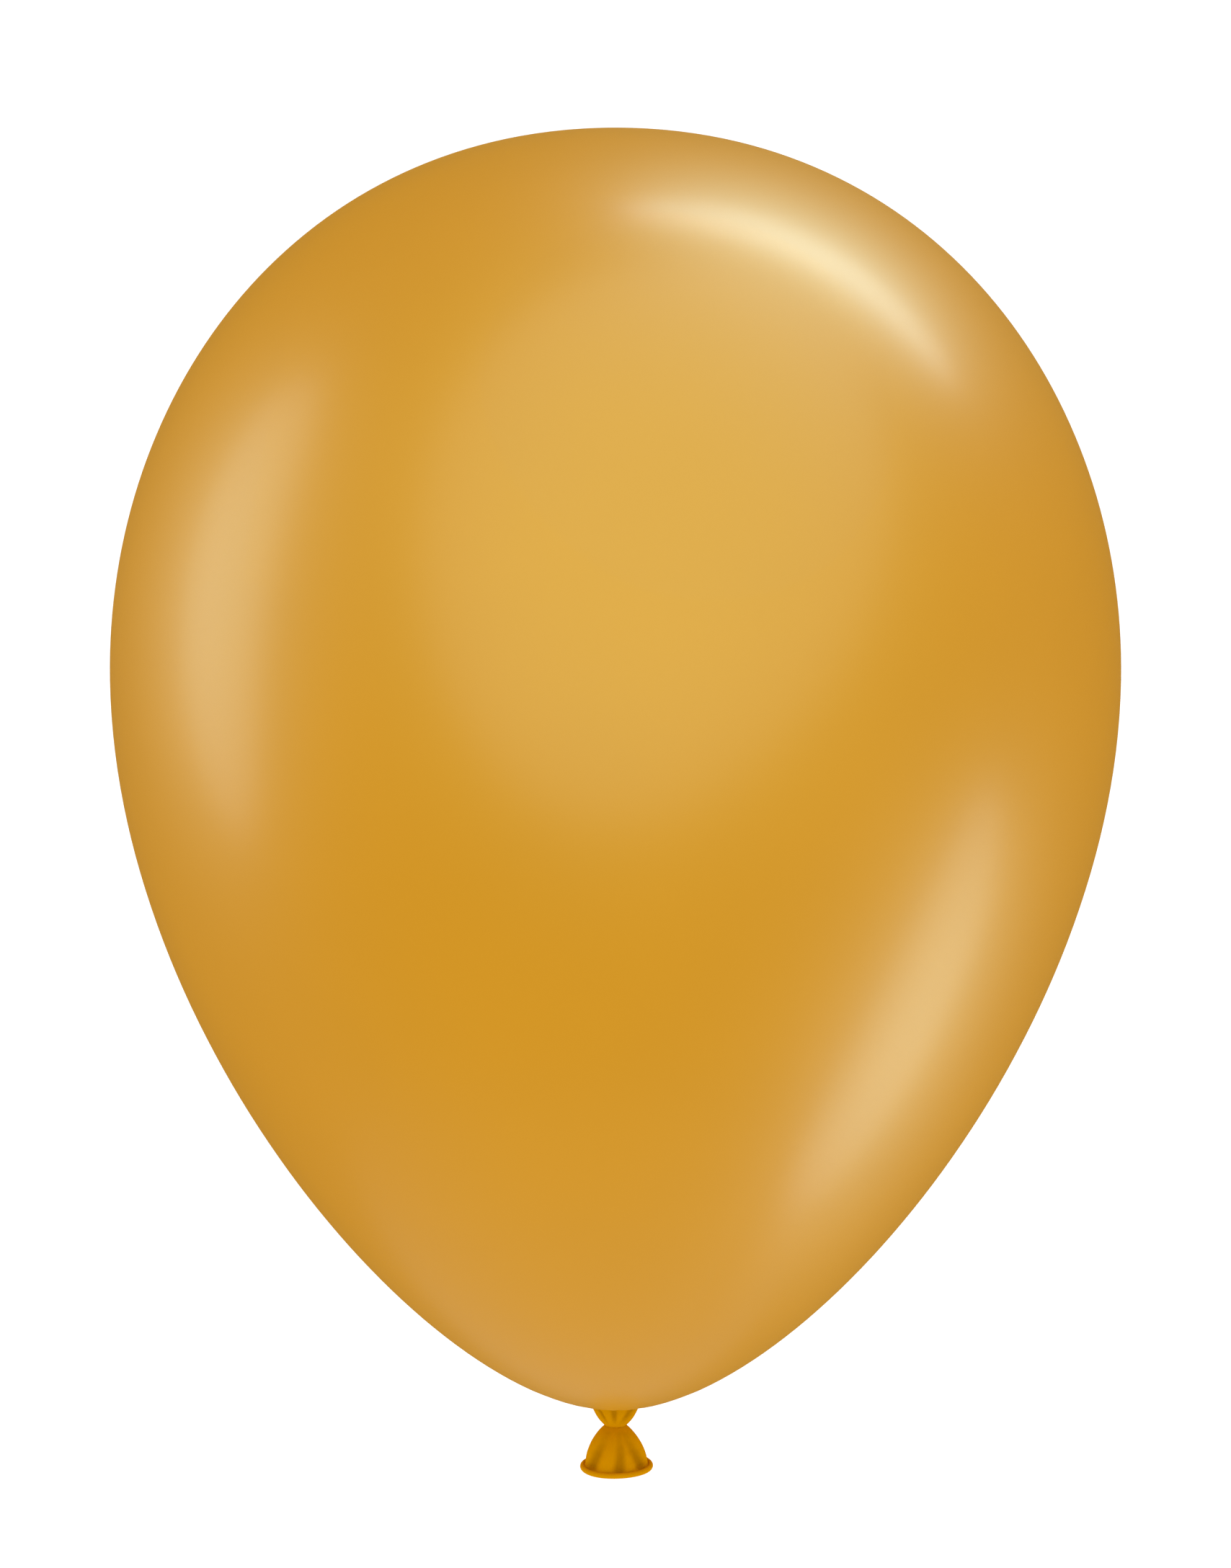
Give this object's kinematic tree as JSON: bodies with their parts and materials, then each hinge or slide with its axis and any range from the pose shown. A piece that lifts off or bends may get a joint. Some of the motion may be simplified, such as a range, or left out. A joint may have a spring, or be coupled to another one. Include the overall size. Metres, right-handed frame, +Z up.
{
  "type": "latex balloon",
  "caption": "Blown-up, tied latex party balloon: egg-shaped film body with a pleated neck, a tight knot and a flared tail with a rolled rim.",
  "frame": {"origin": "centre of the knot, where a ribbon is tied round the neck", "axes": "+Z up the balloon's axis, from the knot through the crown; -Y is the front, and +X is to the right when seen from the front"},
  "size_m": [0.28, 0.28, 0.3795],
  "materials": {
    "blown_film": "satin, pearly, mustard gold latex blown taut",
    "neck_film": "satin, deeper mustard gold latex, unstretched and pleated",
    "rolled_film": "satin mustard gold latex rolled into a bead"
  },
  "bodies": {
    "balloon": {"envelope": "blown_film", "neck_gather": "neck_film"},
    "knot_wrap": {"knot_wrap": "neck_film"},
    "knot_core": {"knot_core": "neck_film"},
    "tail": {"tail_skirt": "neck_film", "rolled_rim": "rolled_film"}
  },
  "joints": [
    {"name": "neck_lean", "type": "hinge", "parent": "balloon", "child": "knot_wrap", "pos_m": [0, 0, 0], "axis": [0, 1, 0], "range_deg": [-30, 30], "stiffness_Nm_per_rad": 0.01},
    {"name": "knot_twist", "type": "hinge", "parent": "knot_wrap", "child": "knot_core", "pos_m": [0, 0, 0], "axis": [0, 0, 1], "range_deg": [-90, 90], "stiffness_Nm_per_rad": 0.006},
    {"name": "tail_flop", "type": "hinge", "parent": "knot_core", "child": "tail", "pos_m": [0, 0, 0], "axis": [1, 0, 0], "range_deg": [-30, 30], "stiffness_Nm_per_rad": 0.01}
  ]
}
